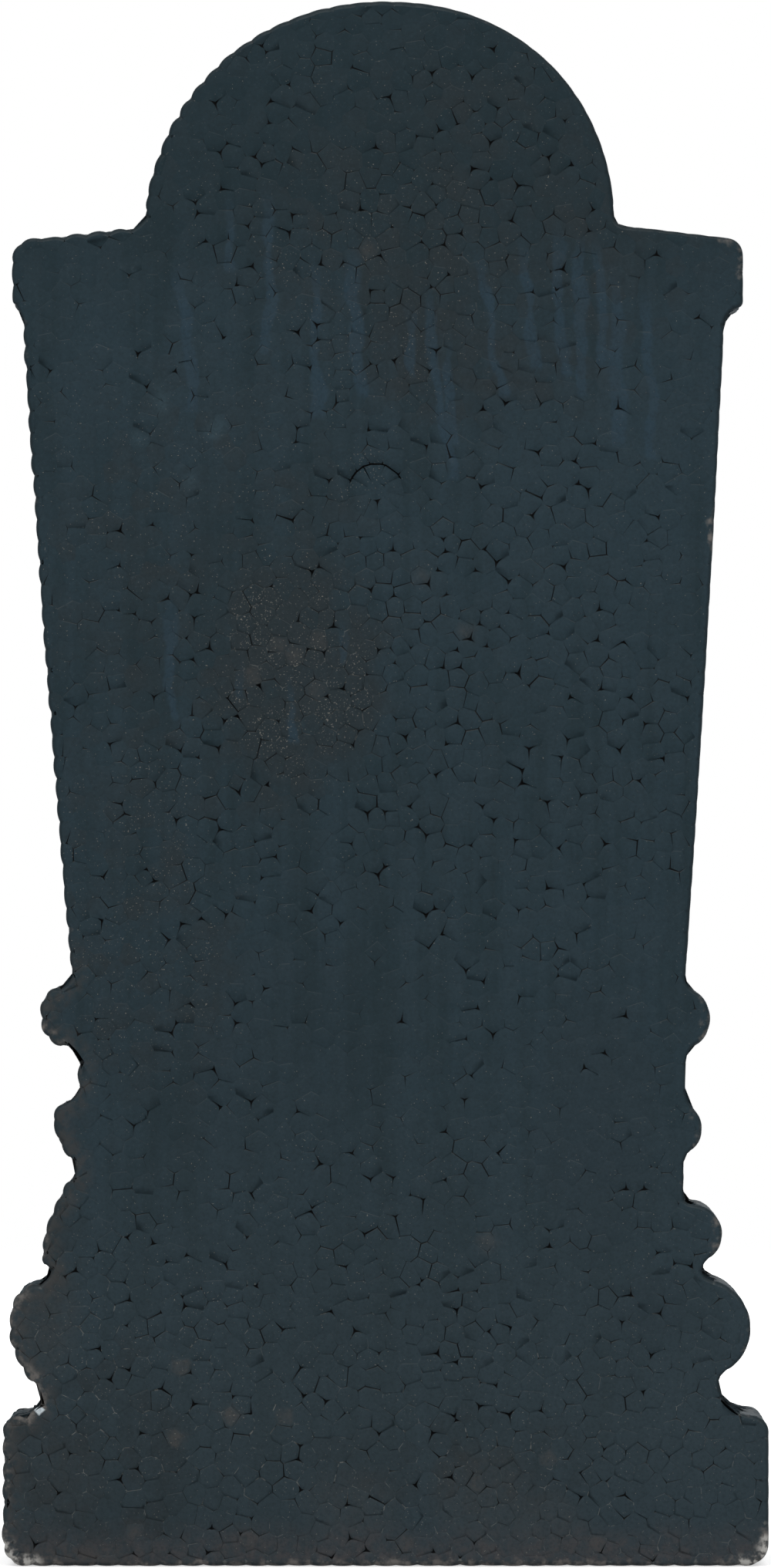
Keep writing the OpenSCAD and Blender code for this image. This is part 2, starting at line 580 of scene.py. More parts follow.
class Cells:
    """Divides a sheet into bead cells, each with a raised top and sunk borders.

    chance and show say how often pits and borders show, cell_depth how deep the borders lie and
    proud how far in the tops lie. A bead deeper than domed gets a rounder top. The first beads,
    as many as fixed, stay in place. Only the back has deep pits, the plug and open borders.
    """

    def __init__(self, sheet, beads, chance, show, cell_depth, proud, domed, fixed=0, back=False):
        self.sheet = sheet
        self.domed = domed
        self.back = back
        points = np.concatenate([sheet.loop[::STEPS], beads])
        self.points = relax(points, sheet.rim_count, fixed)
        faces = triangles_of(self.points, sheet.rim_count)
        self.meeting = junctions_of(self.points, faces)
        self.third = neighbours(faces)
        self.strengths = pit_strengths(self.meeting, chance(self.meeting))
        self.depth = cell_depth(self.points)
        self.proud = proud(self.points)
        self.show = show(self.meeting)
        self.cracked = np.zeros(len(self.meeting))
        if back:
            self.open_back()
        self.joint_depth = self.depth[faces].mean(axis=1)
        self.corner = [self.add_corner(k) for k in range(len(self.meeting))]
        self.arms = {}
        self.add_arms()
        self.size = rng.random(len(self.points))
        self.add_beads()

    def open_back(self):
        """The deepest pits and the crack round the plug."""
        add_deep_pits(self.meeting, self.strengths)
        self.cracked = plug_crack(self.meeting)
        on_rim = self.cracked > 0
        self.meeting[on_rim] = on_plug_rim(self.meeting[on_rim])
        self.strengths[on_rim] = 0.1 + 0.35 * self.cracked[on_rim]

    def add_corner(self, k):
        """The point where three beads meet, sunk into a pit by its strength."""
        pit, crack = self.strengths[k], self.cracked[k]
        down = self.joint_depth[k] + 0.03 + PIT_DEPTH * pit * pit + CRACK_DEPTH * crack
        return self.sheet.add(self.meeting[k], down, max(0.7 * self.show[k], pit), max(pit, 0.5 * crack))

    def add_arms(self):
        """The points along the borders: two between two beads, or one where a border meets the rim."""
        for (a, b), (one, _) in self.third.items():
            luck = rng.random()
            if (b, a) not in self.third:
                self.add_rim_arm(a, one, luck)
            elif one < self.third[b, a][0]:
                self.add_arm_pair(one, self.third[b, a][0], luck)

    def add_rim_arm(self, bead, joint, luck):
        crossing = np.array(self.sheet.xy[STEPS * bead + STEPS // 2])
        groove = border_groove(luck, self.strengths[joint], self.show[joint])
        place = between(self.meeting[joint], crossing, 1.2)
        down = self.joint_depth[joint] + 0.05 * groove
        self.arms[joint, -1 - bead] = self.sheet.add(place, down, groove)

    def add_arm_pair(self, one, other, luck):
        """The two points of a border, left out where it doesn't show."""
        crack = min(self.cracked[one], self.cracked[other])
        show = self.show[one]
        grooves = [max(border_groove(luck, self.strengths[k], show), crack) for k in (one, other)]
        self.arms[one, other] = self.arms[other, one] = None
        if self.back and (max(grooves) > 0.2 or crack > 0):
            down = (self.joint_depth[one] + self.joint_depth[other]) / 2 + CRACK_DEPTH * crack
            reach = 0.3 * min(1.0, luck + 0.3)
            ways = ((one, other), (other, one))
            for way, end, groove in zip(ways, self.arm_ends(one, other, crack), grooves):
                pit = max(0.5 * crack, reach * self.strengths[way[0]])
                self.arms[way] = self.sheet.add(end, down + BORDER_DEPTH * groove, groove, pit)

    def arm_ends(self, one, other, crack):
        """A border's two points: on the plug's rim, or near its ends and bowed a little."""
        a, b = self.meeting[one], self.meeting[other]
        near = between(a, b, ARM_RUN[0] + ARM_RUN[1] * self.strengths[one])
        far = between(b, a, ARM_RUN[0] + ARM_RUN[1] * self.strengths[other])
        if crack > 0:
            return on_plug_rim(np.array([near, far]))
        bow = (0, 0.1 * abs(a[0] - b[0]))
        return near + bow, far + bow

    def add_beads(self):
        first = {}
        for bead, other in self.third:
            first.setdefault(bead, other)
        for bead in range(len(self.points)):
            on_rim = bead < self.sheet.rim_count
            start = (bead + 1) % self.sheet.rim_count if on_rim else first[bead]
            self.add_bead(bead, fan(self.third, bead, start), on_rim)

    def add_bead(self, bead, order, on_rim):
        """One bead: a ring just inside its borders, the slope down to them, and its top."""
        depth, proud = self.depth[bead], self.proud[bead]
        middle = (self.meeting[order].mean(axis=0) + self.points[bead]) / 2
        ring = []
        for number in order:
            run = middle - self.meeting[number]
            whole = math.hypot(run[0], run[1]) + 1e-9
            part = min((RING_IN[0] + RING_IN[1] * self.strengths[number]) / whole, 0.4)
            down = proud + depth * (1 - part) ** 2
            ring.append(self.sheet.add(self.meeting[number] + run * part, down))
        made = self.slope_faces(order, ring, on_rim)
        if on_rim:
            made += self.rim_faces(bead, order, ring)
        elif depth > self.domed:
            made += self.dome_faces(ring, middle, depth, proud)
        else:
            made += self.top_faces(ring, middle, proud)
        self.sheet.faces += made
        self.sheet.face_bead += [self.size[bead]] * len(made)

    def slope_faces(self, order, ring, on_rim):
        """The slope between a bead's ring and its borders."""
        made = []
        for i in range(len(order) - on_rim):
            j = (i + 1) % len(order)
            one, other = order[i], order[j]
            near, far = self.arms[one, other], self.arms[other, one]
            if near is None:
                made.append((self.corner[one], self.corner[other], ring[j], ring[i]))
            else:
                made.append((self.corner[one], near, ring[i]))
                made.append((near, far, ring[j], ring[i]))
                made.append((far, self.corner[other], ring[j]))
        return made

    def top_faces(self, ring, middle, proud):
        """The top of a bead: triangles from its ring to a middle point."""
        top = self.sheet.add(middle, proud)
        return [(one, other, top) for one, other in zip(ring, ring[1:] + ring[:1])]

    def dome_faces(self, ring, middle, depth, proud):
        """A rounder top for a bead that stands out: a second ring and a middle point."""
        inner = []
        for number in ring:
            place = middle + (np.array(self.sheet.xy[number]) - middle) * DOME_RING
            inner.append(self.sheet.add(place, proud + DOME_RISE * depth))
        made = self.top_faces(inner, middle, proud)
        for i in range(len(ring)):
            j = (i + 1) % len(ring)
            made.append((ring[i], ring[j], inner[j], inner[i]))
        return made

    def rim_faces(self, bead, order, ring):
        """The part of a rim bead's cell that meets the rim."""
        count = self.sheet.rim_count * STEPS
        half = STEPS // 2
        chain = [(bead * STEPS + k) % count for k in range(-half, half + 1)]
        before = (bead - 1) % self.sheet.rim_count
        first_arm = self.arms[order[0], -1 - bead]
        last_arm = self.arms[order[-1], -1 - before]
        return [
            (chain[-2], chain[-1], first_arm, ring[0]),
            (first_arm, self.corner[order[0]], ring[0]),
            (self.corner[order[-1]], last_arm, ring[-1]),
            (last_arm, chain[0], chain[1], ring[-1]),
            tuple(chain[1:-1] + ring),
        ]


# ---------------------------------------------------------------- the whole surface

def waves(along):
    """Slow random waviness along a line, about -1 to 1."""
    longest, seed = 90.0, 5
    source = np.random.default_rng(seed)
    total = np.zeros_like(along)
    for k in range(1, 7):
        total += np.sin(along * 2 * math.pi * k / longest + source.uniform(0, 6.28)) / k
    return total / 1.8


def from_bead(count):
    """0 at the middle of a bead, 1 where it meets the next, for each point of a rim."""
    place = np.arange(count) % STEPS
    return np.minimum(place, STEPS - place) / (STEPS / 2)


def scallops(points):
    """How far each point of a rim lies in: least at the middle of a bead."""
    count = len(points)
    lump = lumpiness(points[:, 0], points[:, 1])
    beads = count // STEPS
    middles = rng.uniform(0.0, 0.45, beads)[((np.arange(count) + STEPS // 2) // STEPS) % beads]
    meetings = rng.uniform(0.6, 1.5, beads)[np.arange(count) // STEPS]
    part = from_bead(count) ** 2
    return lump * (middles * (1 - part) + meetings * part) + 0.05


def flat(points, y):
    """Points of the outline put in space, at the depth y."""
    return np.stack([points[:, 0], np.broadcast_to(y, len(points)), points[:, 1]], axis=1)


# The rows of points along the outline, in their order in the mesh, and the wall's seam after them
BACK_ROW, BACK_MID, BACK_WALL, FRONT_WALL, FRONT_MID, FRONT_ROW, SEAM = range(7)


class Surface:
    """Collects the sheets into one closed mesh."""

    def __init__(self):
        self.outline = Outline(make_outline())
        self.profile = Profile()
        self.count = len(self.outline.points)
        self.make_rows()
        self.faces = []
        self.face_bead = []
        self.face_uv = []

    def make_rows(self):
        """The rows along the outline, from the back to the front, and the wall's seam."""
        line = self.outline
        self.radius = EDGE_R * (1 + 0.3 * waves(line.u[:-1]))[:, None]
        self.front = self.profile.reach(line.points[:, 1])
        self.v = self.profile.length(line.points[:, 1])
        sunk = 0.9 * line.hollow[:-1, None]
        back = self.back_rows(scallops(line.points)[:, None], sunk)
        front_in = scallops(line.points) + 0.7 * lumpiness(*line.points.T)
        front = self.front_rows(front_in[:, None] + sunk)
        seam_count = round((self.front[0] - BACK_FACE - 2 * EDGE_R) / RIM_BEAD) * STEPS
        part = np.linspace(0, 1, seam_count + 1)[1:-1, None]
        seam = back[-1][:1] + (front[0][:1] - back[-1][:1]) * part
        self.seam_y = seam[:, 1]
        self.points = [np.concatenate([*back, *front, seam])]
        self.total = len(self.points[0])
        meet = np.tile(from_bead(self.count) ** 3, SEAM)
        self.groove = [np.concatenate([meet, np.zeros(len(seam))]) * 0.5]
        self.pit = [np.zeros(self.total)]

    def back_rows(self, back_in, sunk):
        points, normals = self.outline.points, self.outline.normals
        self.back_loop = points - normals * self.radius
        rise = self.radius[:, 0]
        row = flat(self.back_loop - normals * back_in, BACK_FACE)
        middle = flat(points - normals * (MID_ROUND * self.radius + back_in), BACK_FACE + MID_ROUND * rise)
        wall = flat(points - normals * (back_in + sunk), BACK_FACE + rise)
        return [row, middle, wall]

    def front_rows(self, front_in):
        line = self.outline
        rise = np.stack([line.u[:-1], self.front], axis=1)
        steps = steps_of(rise)
        # The first and the last point meet across the seam, where the line is level
        steps[[0, -1]] = (1, 0)
        self.wall_top = rise + right_of(steps) * self.radius
        away = flat(line.normals * front_in, 0)
        wall = flat(line.at(self.wall_top[:, 0]), self.wall_top[:, 1]) - away
        face = np.stack([line.points[:, 0], self.v], axis=1)
        self.face_loop = face - right_of(steps_of(face)) * self.radius
        row = self.profile.place(*self.face_loop.T) - away
        average = (wall + row) / 2
        edge = flat(line.points, self.front) - away
        return [wall, average + (1 - 2 * MID_ROUND) * (edge - average), row]

    def ids(self, row):
        return np.arange(self.count) + row * self.count

    def take(self, sheet, place, turn, layout):
        """Adds a sheet's own points and its faces, turned round if turn is set.

        place puts flat coordinates in space, and layout puts them in the square for baking.
        """
        xy = np.array(sheet.xy)
        numbers = np.array(sheet.ids)
        own = np.flatnonzero(numbers < 0)
        numbers[own] = np.arange(len(own)) + self.total
        self.total += len(own)
        depth = np.array(sheet.depth)[own]
        self.points.append(place(xy[own], depth))
        self.groove.append(np.array(sheet.groove)[own])
        self.pit.append(np.array(sheet.pit)[own])
        for face, size in zip(sheet.faces, sheet.face_bead):
            face = list(face)
            if turn:
                face.reverse()
            self.faces.append([int(k) for k in numbers[face]])
            self.face_uv.append(layout(xy[face]))
            self.face_bead.append(size)


def plug_beads():
    """Beads in pairs on both sides of the plug's rim, so that their borders follow it."""
    x, z, radius = PLUG
    turn = np.arange(9) * math.tau / 9 + 0.3
    spoke = np.stack([np.cos(turn), np.sin(turn)], axis=1)
    rings = [spoke * (radius - 2.7), spoke * (radius + 2.7)]
    return np.concatenate(rings + [[[0.0, 0.0]]]) + (x, z)


def on_plug_rim(points):
    """The same points moved on to the plug's rim."""
    x, z, radius = PLUG
    run = points - (x, z)
    return run / np.linalg.norm(run, axis=1, keepdims=True) * radius + (x, z)


def plug_crack(points):
    """1 on the open upper part of the plug's rim."""
    x, z, radius = PLUG
    away = np.hypot(points[:, 0] - x, points[:, 1] - z)
    on_rim = np.abs(away - radius) < 1.6
    upper = (points[:, 1] - z) > radius * np.where(points[:, 0] > x, 0.1, 0.35)
    return np.where(on_rim & upper, 1.0, np.where(on_rim, 0.1, 0.0))


# Layout of the sheets in the square for baking, in millimetres: places of the back, the front
# and the wall, the side of the square, and length and spacing of the wall's columns
BACK_AT = (115, 5)
FACE_AT = (345, 5)
WALL_AT = (468, 10)
UV_SIDE = 655.0
COLUMN = 490
COLUMN_STEP = 60


def make_back(surface):
    sheet = Sheet(surface.back_loop, surface.ids(BACK_ROW))
    sheet.add_band(surface.outline.points, surface.ids(BACK_MID))
    fixed = np.concatenate([plug_beads(), [place[:2] for place in DUSTY_BEADS]])
    Cells(
        sheet, scatter(surface.back_loop, BACK_BEAD, fixed), pit_chance, outline_show,
        cell_depth=lambda p: 0.01 + 0.05 * outline_show(p) ** 2,
        proud=lambda p: np.clip(rng.normal(0, 0.03, len(p)), -0.1, 0.12),
        domed=0.02, fixed=len(fixed), back=True)
    surface.take(sheet, lambda xy, depth: flat(xy, BACK_FACE + depth), False, lambda xy: xy + BACK_AT)


def wall_sheet(surface):
    """The wall laid flat: length along the outline and Y, cut open at the underside's middle."""
    line, count = surface.outline, surface.count
    edge = np.stack([line.u, np.full(count + 1, BACK_FACE)], axis=1)
    bottom = edge.copy()
    bottom[:, 1] += np.append(surface.radius, surface.radius[:1])
    top = np.concatenate([surface.wall_top, [[line.u[-1], surface.wall_top[0, 1]]]])
    right = np.stack([np.full(len(surface.seam_y), line.u[-1]), surface.seam_y], axis=1)
    left = right * (0, 1)
    loop = np.concatenate([bottom, right, top[::-1], left[::-1]])
    around = np.arange(count + 1) % count
    seam = np.arange(len(surface.seam_y)) + SEAM * count
    ids = np.concatenate([around + BACK_WALL * count, seam, around[::-1] + FRONT_WALL * count, seam[::-1]])
    sheet = Sheet(loop, ids)
    rise = np.stack([line.u, np.append(surface.front, surface.front[0])], axis=1)
    sheet.add_band(edge, around + BACK_MID * count, 0, False)
    sheet.add_band(rise[::-1], around[::-1] + FRONT_MID * count, count + len(seam) + 1, False)
    return sheet


def make_wall(surface):
    line = surface.outline
    sheet = wall_sheet(surface)

    def lumps(p):
        return lumpiness(*line.at(p[:, 0]).T)

    def sunken(p):
        return 2.0 * np.interp(p[:, 0], line.u, line.hollow)

    Cells(
        sheet, scatter(sheet.loop, FRONT_BEAD, []), lambda p: np.full(len(p), 0.1),
        show=lambda p: 0.25 + 0.5 * lumps(p),
        cell_depth=lambda p: lumps(p) * rng.uniform(0.7, 1.3, len(p)),
        proud=lambda p: lumps(p) * rng.uniform(0.5, 0.9, len(p)) + sunken(p),
        domed=0.4)

    def place(xy, depth):
        found = line.at(xy[:, 0]) - line.normal(xy[:, 0]) * depth[:, None]
        return flat(found, xy[:, 1])

    surface.take(sheet, place, True, wall_layout)


def wall_layout(xy):
    """Three columns beside the other two sheets."""
    column = int(xy[:, 0].mean() // COLUMN)
    place = np.stack([xy[:, 1] - BACK_FACE, xy[:, 0] - COLUMN * column], axis=1)
    return place + WALL_AT + (COLUMN_STEP * column, 0)


def make_face(surface):
    sheet = Sheet(surface.face_loop, surface.ids(FRONT_ROW))
    sheet.add_band(np.stack([surface.outline.points[:, 0], surface.v], axis=1), surface.ids(FRONT_MID))
    Cells(
        sheet, scatter(surface.face_loop, FRONT_BEAD, []),
        chance=lambda p: np.full(len(p), 0.08),
        show=lambda p: np.full(len(p), 0.35),
        cell_depth=lambda p: 0.05 + 0.2 * rng.random(len(p)) ** 2,
        proud=lambda p: np.clip(rng.normal(0.05, 0.05, len(p)), 0, 0.2),
        domed=0.5)

    def place(xy, depth):
        return surface.profile.place(*xy.T) - surface.profile.normal(xy[:, 1]) * depth[:, None]

    surface.take(sheet, place, True, lambda xy: xy + FACE_AT)


# Places on the back, in millimetres: middle x, z, half width, half height, strength
BARE_SPOTS = [
    (9, 362, 22, 34, 0.8), (-26, 258, 30, 38, 1), (-33, 230, 10, 18, 0.8),
    (25, 385, 75, 62, 0.55), (-52, 275, 60, 75, 0.5), (-70, 190, 34, 70, 0.5),
    (35, 345, 30, 26, 0.6), (-85, 30, 40, 40, 0.6), (-98, 110, 14, 60, 0.6),
    (20, 30, 46, 18, 0.5), (-60, 420, 30, 30, 0.3),
]
CALM_SPOTS = [(61, 128, 19, 40, 1), (77, 74, 12, 11, 0.9), (-35, 145, 40, 40, 0.5)]
SPECK_SPOTS = [
    (-26, 258, 27, 36, 1), (-70, 190, 28, 60, 0.55), (-2, 372, 40, 40, 0.45),
    (-60, 300, 50, 50, 0.35), (-50, 60, 60, 50, 0.4), (-6, 314, 10, 9, 0.75),
    (0, 60, 110, 80, 0.3), (0, 395, 70, 50, 0.25),
]
PALE_SPOTS = [(-64.5, 334.5, 2.4, 4, 1), (-48.5, 326, 2.6, 3.4, 0.9), (-70, 324, 2, 2.6, 0.8),
              (-57, 312, 2, 2.6, 0.7)]
# Places where the rim's paint is worn off, on the back and the front alike
WORN_SPOTS = [
    (-108, 3, 16, 9, 1), (107, 4, 12, 9, 1), (-99, 47, 9, 14, 0.85),
    (-106, 76, 7, 9, 0.7), (-104, 60, 8, 8, 0.5), (105, 70, 8, 15, 0.25),
    (93, 157, 7, 12, 0.6), (-98, 150, 8, 9, 0.55), (91, 126, 6, 9, 0.6),
    (97, 95, 6, 9, 0.6), (103, 379, 9, 12, 0.5), (94, 298, 4, 8, 0.6),
    (-102, 92, 7, 10, 0.5), (-109, 25, 5, 20, 0.5), (0, 0, 100, 3.5, 0.75),
    (-107, 380, 8, 10, 0.2), (104, 46, 9, 5, 0.5),
]
# Beads with dust on them: x, z, strength
DUSTY_BEADS = [
    (-58.8, 57.6, 1), (-44.4, 43.2, 1), (-60.2, 36.8, 0.9), (-72, 10.4, 0.7), (-39.3, 8, 0.8),
    (26, 23.5, 0.7), (47, 31, 0.6), (29, 93.3, 0.7), (61, 6.5, 0.9), (5.6, 6.8, 0.8),
    (29, 6, 0.7), (-28.7, 43.2, 0.7), (10.4, 284.5, 0.5), (23, 269, 0.5), (-5, 378, 0.5),
    (-26, 262, 0.6), (-20, 252, 0.5), (-38, 256, 0.7), (-31, 265, 0.6), (-19, 266, 0.5),
]
DUSTY_SPOTS = [(x, z, 2.9, 2.9, strength) for x, z, strength in DUSTY_BEADS]
DUSTY_SPOTS += [(28, 21, 15, 13, 0.3), (-10, 17, 14, 11, 0.25), (46, 12, 11, 10, 0.3),
                (-96, 24, 14, 16, 0.15), (-98, 72, 10, 18, 0.3)]


def strongest_spot(points, places, all_round):
    """The strongest of several soft ovals at each point, on the back only or all round."""
    x, y, z = points.T
    found = np.zeros(len(points))
    for middle_x, middle_z, half_x, half_z, strength in places:
        away = ((x - middle_x) / half_x) ** 2 + ((z - middle_z) / half_z) ** 2
        found = np.maximum(found, strength * (1 - smooth(away, 0.1, 1.6)))
    return found if all_round else found * (y < BACK_FACE + 3)


def make_piece(surface):
    points = np.concatenate(surface.points)
    mesh = bpy.data.meshes.new("foam_headstone")
    mesh.from_pydata((points / 1000).tolist(), [], surface.faces)
    layer = mesh.uv_layers.new(name="OFBake")
    layer.data.foreach_set("uv", (np.concatenate(surface.face_uv) / UV_SIDE).ravel())
    add_values(mesh, "groove", "POINT", np.concatenate(surface.groove))
    add_values(mesh, "pit", "POINT", np.concatenate(surface.pit))
    add_values(mesh, "rim", "POINT", rim_nearness(surface, points))
    add_values(mesh, "bead", "FACE", np.array(surface.face_bead))
    places = {"bare": BARE_SPOTS, "calm": CALM_SPOTS, "speck": SPECK_SPOTS, "pale": PALE_SPOTS}
    for name, spots in {**places, "dust": DUSTY_SPOTS, "worn": WORN_SPOTS}.items():
        add_values(mesh, name, "POINT", strongest_spot(points, spots, name == "worn"))
    mesh.polygons.foreach_set("use_smooth", np.ones(len(mesh.polygons), bool))
    mesh.update()
    piece = bpy.data.objects.new("foam_headstone", mesh)
    bpy.context.scene.collection.objects.link(piece)
    return piece


def add_values(mesh, name, domain, values):
    mesh.attributes.new(name, "FLOAT", domain).data.foreach_set("value", values.astype(np.float32))


def rim_nearness(surface, points):
    """1 on the two rims of the wall, falling to 0 ten millimetres away."""
    rims = np.concatenate([points[surface.ids(BACK_MID)], points[surface.ids(FRONT_MID)]])
    return np.maximum(0.0, 1 - distances(points, rims) / 10)


surface = Surface()
make_back(surface)
make_wall(surface)
make_face(surface)
piece = make_piece(surface)


# ---------------------------------------------------------------- materials

def colour(red, green, blue):
    """A colour given as 0 to 255 on screen, as the shader wants it."""
    parts = [value / 255 for value in (red, green, blue)]
    return [v / 12.92 if v <= 0.04045 else ((v + 0.055) / 1.055) ** 2.4 for v in parts] + [1.0]


PAINT_DARK = colour(29, 42, 47)
PAINT_LIGHT = colour(36, 50, 57)
PAINT_ARCH = colour(27, 40, 45)
# Painted light: lighter paint towards the foot
PAINTED_LIGHT_LOW = colour(47, 57, 62)
PAINT_CALM = colour(36, 47, 53)
UNDERCOAT = colour(37, 44, 47)
RUN_PAINT = colour(38, 55, 66)
PALE_PAINT = colour(50, 67, 75)
DUST = colour(70, 68, 66)
BOTTOM_HAZE = colour(64, 62, 63)
# Painted shade for the grooves between beads and for slopes that face down
GROOVE_PAINTED_SHADE = colour(16, 22, 25)
EDGE_DARK = colour(24, 31, 34)
# Painted shade for the pits between beads
PIT_PAINTED_SHADE = colour(3, 4, 5)
WORN = colour(100, 97, 94)
RIM_HAZE = colour(62, 61, 60)
WORN_WHITE = colour(175, 174, 170)
CHIP_WHITE = colour(190, 200, 205)
BEAD_BLUE = colour(42, 53, 59)
BEAD_GREY = colour(43, 48, 50)
GRAIN_DARK = colour(29, 38, 42)
GRAIN_LIGHT = colour(50, 62, 68)
SPECK_GREY = colour(120, 118, 112)
# Painted highlight along the borders between beads
BORDER_PAINTED_HIGHLIGHT = colour(98, 100, 98)
# Painted light on slopes that face up
SLOPE_PAINTED_LIGHT = colour(72, 78, 80)


class Graph:
    """Builds the nodes of a material or of the world, with one call for each step."""

    def __init__(self, owner):
        owner.use_nodes = True
        self.tree = owner.node_tree
        self.tree.nodes.clear()

    def node(self, kind, **settings):
        made = self.tree.nodes.new(kind)
        for name, value in settings.items():
            setattr(made, name, value)
        return made

    def put(self, socket, value):
        if isinstance(value, bpy.types.NodeSocket):
            self.tree.links.new(value, socket)
        else:
            socket.default_value = value

    def math(self, operation, *values):
        """One operation from the first value on to the last."""
        total = values[0]
        for value in values[1:]:
            made = self.node("ShaderNodeMath", operation=operation)
            self.put(made.inputs[0], total)
            self.put(made.inputs[1], value)
            total = made.outputs[0]
        return total

    def add(self, *values):
        return self.math("ADD", *values)

    def times(self, *values):
        return self.math("MULTIPLY", *values)

    def less(self, value, other):
        return self.math("SUBTRACT", value, other)

    def size_of(self, value):
        made = self.node("ShaderNodeMath", operation="ABSOLUTE")
        self.put(made.inputs[0], value)
        return made.outputs[0]

    def swing(self, noise, amount):
        """Noise about 0 to 1 turned into a swing about 0, amount wide."""
        return self.times(self.less(noise, 0.5), amount)

    def ramp(self, value, low, high, start=0.0, end=1.0):
        made = self.node("ShaderNodeMapRange", interpolation_type="SMOOTHSTEP")
        for socket, given in zip(made.inputs, (value, low, high, start, end)):
            self.put(socket, given)
        return made.outputs[0]

    def scaled(self, vector, amounts):
        made = self.node("ShaderNodeVectorMath", operation="MULTIPLY")
        self.put(made.inputs[0], vector)
        made.inputs[1].default_value = amounts
        return made.outputs[0]

    def noise(self, vector, size, detail=2.0, roughness=0.5):
        """Noise about 0 to 1 whose lumps are about size millimetres across."""
        made = self.node("ShaderNodeTexNoise")
        self.put(made.inputs["Vector"], vector)
        for name, value in (("Scale", 1.0 / size), ("Detail", detail), ("Roughness", roughness)):
            made.inputs[name].default_value = value
        return made.outputs["Fac"]

    def mix(self, part, first, second):
        made = self.node("ShaderNodeMix", data_type="RGBA")
        for socket, value in zip((made.inputs["Factor"], *made.inputs[6:8]), (part, first, second)):
            self.put(socket, value)
        return made.outputs[2]

    def split(self, vector):
        made = self.node("ShaderNodeSeparateXYZ")
        self.put(made.inputs[0], vector)
        return made.outputs

    def value_of(self, name):
        return self.node("ShaderNodeAttribute", attribute_name=name).outputs["Fac"]


# Chip in the back's left rim, down to the white foam: x and z
CHIP = (-99.5, 45.0)
# Runs of paint: x and z at the top, x and z at the foot, width
DRIPS = [
    (27, 377, 34, 336, 4.4), (39.4, 380, 43.5, 344, 4.2), (49.2, 384, 51.2, 342, 4.6),
    (55.4, 381, 56.3, 336, 4.4), (6.5, 361, 8.6, 342, 3.6), (-9.5, 378, -6.5, 336, 6),
    (-58.5, 372, -56, 332, 4.5), (11.2, 366, 19, 312, 4.2), (66, 370, 66.5, 322, 6),
    (61, 380, 62.5, 345, 4), (76, 366, 77, 318, 5), (18, 352, 19.5, 322, 4),
    (-27.4, 254, -27.4, 236.5, 3.4),
    (-42, 257.5, -42, 249.5, 3), (-13.2, 270, -13.2, 259.5, 3), (-62, 277, -61, 243, 4.5),
    (-34, 394, -33, 348, 4.5), (-20, 374, -19, 330, 5), (-45, 392, -44, 372, 4),
]


